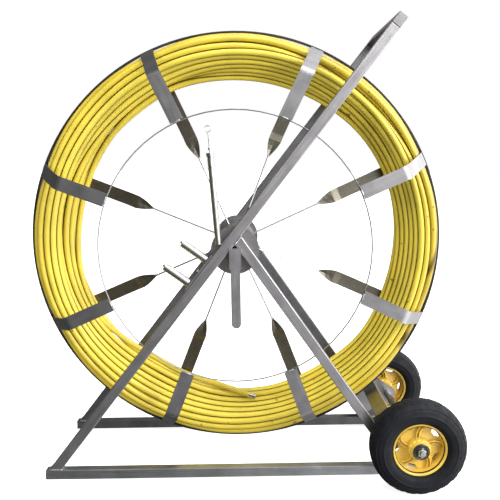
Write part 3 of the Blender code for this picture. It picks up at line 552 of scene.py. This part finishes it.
def wound_rod():
    """One rod: its turns, then the loose end that lies across them."""
    turns, random = rod_turns()
    flat = turns.reshape(-1, 2)
    angle = radians(SEAM) + np.arange(len(flat)) * 2 * pi / TURN_STEPS
    centre = np.stack([flat[:, 0] * np.cos(angle), flat[:, 1], flat[:, 0] * np.sin(angle)], 1)
    loose = tail_points(flat[-1])
    openness = np.concatenate([crowding(turns), np.ones((len(loose), ROD_SIDES))])
    centre = np.concatenate([centre, loose])
    out, side = across(centre)
    turn = np.arange(ROD_SIDES) * 2 * pi / ROD_SIDES
    ring = np.cos(turn)[None, :, None] * out[:, None] + np.sin(turn)[None, :, None] * side[:, None]
    points = (centre[:, None] + ROD_R * ring).reshape(-1, 3)
    base = np.arange(len(centre) - 1)[:, None] * ROD_SIDES
    i = np.arange(ROD_SIDES)[None]
    j = (i + 1) % ROD_SIDES
    quads = np.stack([base + i, base + j, base + ROD_SIDES + j, base + ROD_SIDES + i], -1)
    last = (len(centre) - 1) * ROD_SIDES
    ends = [tuple(range(ROD_SIDES))[::-1], tuple(range(last, last + ROD_SIDES))]
    mesh = bpy.data.meshes.new("rod_turns")
    mesh.from_pydata([tuple(p) for p in points], [], [tuple(q) for q in quads.reshape(-1, 4)] + ends)
    mesh.update()
    mesh.shade_smooth()
    number = np.arange(len(centre)) / TURN_STEPS
    tones = random.random(int(number[-1]) + 3)
    tone = np.interp(number, np.arange(len(tones)), tones)
    for name, values in (("tone", np.repeat(tone, ROD_SIDES)), ("clear", openness.reshape(-1))):
        layer = mesh.attributes.new(name, "FLOAT", "POINT")
        layer.data.foreach_set("value", values.astype(np.float32))
    length = np.linalg.norm(np.diff(centre, axis=0), axis=1).sum()
    print(f"wound rod: {length:.1f} m in {len(turns)} turns and a loose end")
    add_piece("rod_turns", mesh, ROD_YELLOW, "reel", ["rod_winding"])


# ---------------------------------------------------------------- wheels

def lathe(work, outline, steps, shift=None):
    """Turns a closed (radius, y) outline about Y. shift(step, radius, y) may move each point."""
    rings = []
    for step in range(steps):
        a = 2 * pi * step / steps
        ring = []
        for radius, y in outline:
            if shift:
                radius, y = shift(step, radius, y)
            ring.append(work.verts.new((radius * cos(a), y, radius * sin(a))))
        rings.append(ring)
    for first, second in zip(rings, rings[1:] + rings[:1]):
        for i in range(len(outline)):
            j = (i + 1) % len(outline)
            work.faces.new((first[i], second[i], second[j], first[j]))


def both_sides(half):
    """Closes an outline given from its outer side to the middle with the same on the inner side."""
    return half + [(radius, -y) for radius, y in reversed(half)]


def tyre_mesh(name):
    half = [(0.0600, 0.0235), (0.0676, 0.0250), (0.0688, 0.0292), (0.0712, 0.0335), (0.0745, 0.0362),
            (0.0790, 0.0378), (0.0880, 0.0386), (0.0893, 0.0386), (0.0900, 0.0391), (0.0912, 0.0393),
            (0.0930, 0.0391), (0.0940, 0.0382), (0.0985, 0.0375), (0.1030, 0.0360), (0.1062, 0.0342),
            (0.1072, 0.0330), (0.1082, 0.0328), (0.1094, 0.0330), (0.1122, 0.0304), (0.1152, 0.0262),
            (0.1174, 0.0214), (0.1184, 0.0190), (0.1170, 0.0184), (0.1170, 0.0164), (0.1190, 0.0156),
            (0.1197, 0.0090), (0.1178, 0.0084), (0.1178, 0.0066), (0.1199, 0.0060)]

    def lugs(step, radius, y):
        """Notches in the shoulder and slits in the tread, half a lug apart on the two sides."""
        turned = step + (0 if y > 0 else LUG_EVERY // 2)
        if turned % LUG_EVERY < 2 and radius > 0.1115 and abs(y) > 0.0185:
            return radius - SHOULDER_NOTCH, y * 0.985
        if (turned + 2) % LUG_EVERY == 0 and radius > 0.118 and abs(y) > 0.006:
            return radius - TREAD_SLIT, y
        return radius, y

    return built(name, lambda work: lathe(work, both_sides(half), LUG_STEPS, lugs))


def spoke_of_rim(work, first):
    """One curved spoke of the wheel: a web with a rib along each edge, thick on both faces."""
    rows = []
    for step in range(SPOKE_STEPS + 1):
        t = step / SPOKE_STEPS
        radius = SPOKE_FROM + (SPOKE_TO - SPOKE_FROM) * t
        a = radians(first + SPOKE_SWEEP * t * t)
        half = 0.0045 + 0.0008 * t + 0.0040 * max(0.0, t - 0.75) / 0.25
        rib, low, high = 0.0021, 0.0050, 0.0150 - 0.004 * t
        section = [(-half, high), (-half + rib, high + 0.0006), (-half + rib + 0.0006, low),
                   (half - rib - 0.0006, low), (half - rib, high + 0.0006), (half, high)]
        section += [(u, -y) for u, y in reversed(section)]
        rows.append([work.verts.new((radius * cos(a) - u * sin(a), y, radius * sin(a) + u * cos(a)))
                     for u, y in section])
    for inner, outer in zip(rows, rows[1:]):
        for i in range(len(inner)):
            j = (i + 1) % len(inner)
            work.faces.new((inner[i], outer[i], outer[j], inner[j]))
    work.faces.new(rows[0])
    work.faces.new(rows[-1][::-1])


def rim_mesh(name):
    lip = [(0.0640, 0.0232), (0.0666, 0.0244), (RIM_LIP, 0.0258), (0.0666, 0.0274), (0.0645, 0.0278),
           (0.0628, 0.0268), (0.0608, 0.0225), (0.0590, 0.0150), (0.0580, 0.0080), (0.0576, 0.0040)]
    barrel = both_sides(lip) + [(0.0612, -0.0200), (0.0605, 0.0), (0.0612, 0.0200)]
    web = both_sides([(0.0250, 0.0060), (0.0400, 0.0032), (0.0590, 0.0022)])

    def windows(step, radius, y):
        """Draws the web's outer edge in between spokes, which leaves the windows."""
        turned = step * 360 / WEB_STEPS - SPOKE_FIRST - SPOKE_SWEEP * 0.7
        place = turned % (360 / SPOKES)
        opening = min(1.0, max(0.0, (WINDOW_HALF - abs(place - WINDOW_MIDDLE)) / WINDOW_EDGE))
        return (radius - WINDOW_DEPTH * opening if radius > 0.05 else radius), y

    boss = both_sides([(BOSS_BORE, 0.0350), (0.0206, 0.0350), (0.0216, 0.0262), (0.0228, 0.0250),
                       (0.0262, 0.0246), (BOSS_R, 0.0232), (BOSS_R + 0.001, 0.0060)])

    def star(step, radius, y):
        """Small steps round the boss's face."""
        return radius, y - 0.0016 * (step % 6 < 2 and 0.0220 < radius < 0.027) * (1 if y > 0 else -1)

    def build(work):
        lathe(work, barrel, BARREL_STEPS)
        lathe(work, web, WEB_STEPS, windows)
        lathe(work, boss, BOSS_STEPS, star)
        for index in range(SPOKES):
            spoke_of_rim(work, SPOKE_FIRST + index * 360 / SPOKES)
    return built(name, build)


def seal_mesh(name):
    outline = [(0.0172, 0.0356), (0.0206, 0.0356), (0.0209, 0.0366), (0.0198, 0.0372), (0.0188, 0.0366),
               (0.0178, 0.0371), (0.0172, 0.0366)]
    return built(name, lambda work: lathe(work, outline, SEAL_STEPS))


def wheels():
    for side, flip in (("near", -1), ("far", 1)):
        body = f"wheel_{side}"
        centre = Vector(JOINTS[body + "_spin"]["pos_m"])
        face = Matrix.Diagonal((1, flip, 1, 1)) if flip > 0 else Matrix.Rotation(pi, 4, "Z")
        place = Matrix.Translation(centre) @ face
        add_piece(f"tyre_body_{side}", tyre_mesh("tyre"), RUBBER, body,
                  ["tyre_" + side], place)
        add_piece(f"rim_body_{side}", rim_mesh("rim"), RIM_YELLOW, body,
                  ["rim_" + side], place)
        add_piece(f"bearing_seal_{side}", seal_mesh("seal"), SEAL_BLACK, body, (), place)


# ---------------------------------------------------------------- welds and small fittings

def bead(work, line, radius, random, closed=False):
    """A weld bead along a line: a lumpy tube with ripples."""
    line = [Vector(p) for p in line]
    if closed:
        line.append(line[0])
    length = sum((b - a).length for a, b in zip(line, line[1:]))
    count = max(4, int(length / RIPPLE))
    reach = np.concatenate([[0], np.cumsum([(b - a).length for a, b in zip(line, line[1:])])])
    flat = np.array([tuple(p) for p in line])
    at = np.linspace(0, reach[-1], count + 1)
    spots = np.stack([np.interp(at, reach, flat[:, i]) for i in range(3)], 1)
    ahead = np.gradient(spots, axis=0)
    rings = []
    for index, (spot, go) in enumerate(zip(spots, ahead)):
        go = Vector(go).normalized()
        first = go.orthogonal().normalized() if abs(go.y) > 0.9 else go.cross((0, 1, 0)).normalized()
        second = go.cross(first)
        size = radius * (0.86 + 0.22 * (index % 3 == 0) + 0.18 * random.random())
        if not closed:
            size *= max(0.25, min(1.0, 2.2 * sqrt(min(index, count - index) / count)))
        rings.append([work.verts.new(Vector(spot) + size * (first * cos(2 * pi * k / BEAD_SIDES)
                                                            + second * sin(2 * pi * k / BEAD_SIDES)))
                      for k in range(BEAD_SIDES)])
    for a, b in zip(rings, rings[1:]):
        for k in range(BEAD_SIDES):
            after = (k + 1) % BEAD_SIDES
            work.faces.new((a[k], b[k], b[after], a[after]))
    work.faces.new(rings[0][::-1])
    work.faces.new(rings[-1])


def end_loop(name, at, facing):
    """The outline of a tube's end: the hull of its vertices furthest along facing, near at."""
    points = node_points(name)
    near = points[np.linalg.norm(points - at, axis=1) < 0.05]
    high = near @ facing
    rim = near[high > high.max() - 0.0012]
    middle = rim.mean(0)
    first = np.cross(facing, (0, 1, 0))
    first /= np.linalg.norm(first)
    flat = np.stack([(rim - middle) @ first, rim[:, 1] - middle[1]], 1)
    angle = np.radians(np.arange(0, 360, 15))
    keep = (flat @ np.stack([np.cos(angle), np.sin(angle)])).argmax(0)
    order = [keep[0]] + [b for a, b in zip(keep, keep[1:]) if b != a]
    return [rim[i] for i in order]


def add_bead(name, lines, body, radius, closed=False, seed=0):
    """One piece of weld beads along several lines, in the stand's axes."""
    random = np.random.default_rng(SEED + seed)

    def build(work):
        for line in lines:
            bead(work, line, radius, random, closed)
    add_piece(name, built(name, build, 60), WELD_STEEL, body)


def compass(point):
    """The directions away from the hub and round it, at a point."""
    a = np.arctan2(point[2], point[0])
    return np.array([cos(a), 0.0, sin(a)]), np.array([-sin(a), 0.0, cos(a)])


def welds():
    """Beads round the tubes' lower ends, at the ring and hoop on the forks, and at the spokes' ends."""
    for side in ("near", "far"):
        diagonal = node_points("diagonal_" + side)
        brace = node_points("brace_" + side)
        square = np.array([sin(DIAGONAL_TURN), 0.0, -cos(DIAGONAL_TURN)])
        down = np.array([0.0, 0.0, -1.0])
        joints = [("diagonal_" + side, diagonal[diagonal[:, 2].argmin()], down),
                  ("brace_" + side, brace[brace[:, 2].argmax()], -square),
                  ("brace_" + side, brace[brace[:, 2].argmin()], down)]
        loops = [end_loop(*joint) for joint in joints]
        add_bead(f"tube_welds_{side}", loops, "frame", TUBE_WELD_R, closed=True)
    hoop = node_points("hoop")
    hoop_y = hoop[:, 1].min()
    hoop_r = np.hypot(hoop[:, 0], hoop[:, 2]).max() - HOOP_WELD_IN
    ring = node_points("front_ring")
    ring_y = ring[:, 1].mean()
    ring_r = np.hypot(ring[:, 0], ring[:, 2]).max()
    level = np.array([0.0, 1.0, 0.0])
    ends, tacks, tips = [], [], []
    for index in range(1, FORKS + 1):
        point = node_points(f"fork_{index}")
        reach = np.hypot(point[:, 0], point[:, 2])
        tip = point[reach.argmin()]
        out, side = compass(tip)
        ends.append([out * ring_r + side * u + level * (ring_y - 0.0008)
                     for u in (-RING_WELD_HALF, 0, RING_WELD_HALF)])
        tips.append([tip + out * reach_out for reach_out in SPOKE_WELD_REACH])
        out, side = compass(point[reach > reach.max() - 0.004].mean(0))
        for v in (-1, 1):
            tacks.append([out * hoop_r + side * v * u + level * (hoop_y - 0.0006)
                          for u in HOOP_WELD_AT])
    add_bead("ring_welds", ends, "reel", RING_WELD_R, seed=1)
    add_bead("hoop_tacks", tacks, "reel", HOOP_WELD_R, seed=2)
    add_bead("spoke_welds", tips, "reel", SPOKE_WELD_R, seed=3)


# ---------------------------------------------------------------- camera, floor and light

def camera():
    yaw, pitch, roll = CAMERA_YAW, CAMERA_PITCH, CAMERA_ROLL
    ahead = Vector((sin(yaw) * cos(pitch), cos(yaw) * cos(pitch), -sin(pitch)))
    right = Vector((cos(yaw), -sin(yaw), 0.0))
    above = right.cross(ahead)
    level = right * cos(roll) + above * sin(roll)
    upright = above * cos(roll) - right * sin(roll)
    turn = Matrix((level, upright, -ahead)).transposed().to_4x4()
    data = bpy.data.cameras.new("camera")
    data.lens, data.sensor_width = LENS, SENSOR
    data.clip_start, data.clip_end = 0.05, 60.0
    obj = bpy.data.objects.new("camera", data)
    obj.matrix_world = STAND @ Matrix.Translation(CAMERA_AT) @ turn
    bpy.context.scene.collection.objects.link(obj)
    bpy.context.scene.camera = obj


def area_light(name, at, target, size, watts):
    data = bpy.data.lights.new(name, "AREA")
    data.shape = "RECTANGLE"
    data.size, data.size_y = size
    data.energy = watts
    obj = bpy.data.objects.new(name, data)
    obj.location = at
    obj.rotation_euler = (Vector(target) - Vector(at)).to_track_quat("-Z", "Y").to_euler()
    bpy.context.scene.collection.objects.link(obj)


def surroundings():
    """A white backdrop, and a studio that is bright at the front right and dim elsewhere."""
    world = bpy.data.worlds.new("studio")
    bpy.context.scene.world = world
    world.use_nodes = True
    nodes, links = world.node_tree.nodes, world.node_tree.links
    room = nodes["Background"]
    room.inputs["Strength"].default_value = ROOM_STRENGTH
    facing = nodes.new("ShaderNodeVectorMath")
    facing.operation = "DOT_PRODUCT"
    facing.inputs[1].default_value = Vector(SOFTBOX_SIDE).normalized()
    links.new(nodes.new("ShaderNodeTexCoord").outputs["Generated"], facing.inputs[0])
    share = nodes.new("ShaderNodeMapRange")
    share.inputs["From Min"].default_value = -1.0
    links.new(facing.outputs["Value"], share.inputs["Value"])
    ramp = nodes.new("ShaderNodeValToRGB")
    fill_ramp(ramp.color_ramp, [((place + 1) / 2, grey) for place, grey in ROOM])
    links.new(share.outputs["Result"], ramp.inputs["Fac"])
    links.new(ramp.outputs["Color"], room.inputs["Color"])
    backdrop = nodes.new("ShaderNodeBackground")
    backdrop.inputs["Color"].default_value = (1.0, 1.0, 1.0, 1.0)
    choose = nodes.new("ShaderNodeMixShader")
    links.new(nodes.new("ShaderNodeLightPath").outputs["Is Camera Ray"], choose.inputs["Fac"])
    links.new(room.outputs["Background"], choose.inputs[1])
    links.new(backdrop.outputs["Background"], choose.inputs[2])
    links.new(choose.outputs["Shader"], nodes["World Output"].inputs["Surface"])


def studio():
    corners = [(x * FLOOR_HALF, y * FLOOR_HALF, 0) for x, y in ((-1, -1), (1, -1), (1, 1), (-1, 1))]
    mesh = bpy.data.meshes.new("floor")
    mesh.from_pydata(corners, [], [(0, 1, 2, 3)])
    floor = bpy.data.objects.new("floor", mesh)
    pale = Finish("floor_pale", 0.9)
    pale.shader.inputs["Base Color"].default_value = (0.93, 0.93, 0.93, 1.0)
    pale.shader.inputs["Emission Color"].default_value = (1.0, 1.0, 1.0, 1.0)
    pale.shader.inputs["Emission Strength"].default_value = FLOOR_GLOW
    floor.data.materials.append(pale.material)
    floor.visible_diffuse = floor.visible_glossy = False
    bpy.context.scene.collection.objects.link(floor)
    surroundings()
    for lamp in LAMPS:
        area_light(*lamp)
    bpy.data.objects["fill"].visible_glossy = False
    bpy.context.scene.view_settings.view_transform = "Standard"


# ---------------------------------------------------------------- put together

camera()
dress_nodes()
wound_rod()
wheels()
welds()
studio()
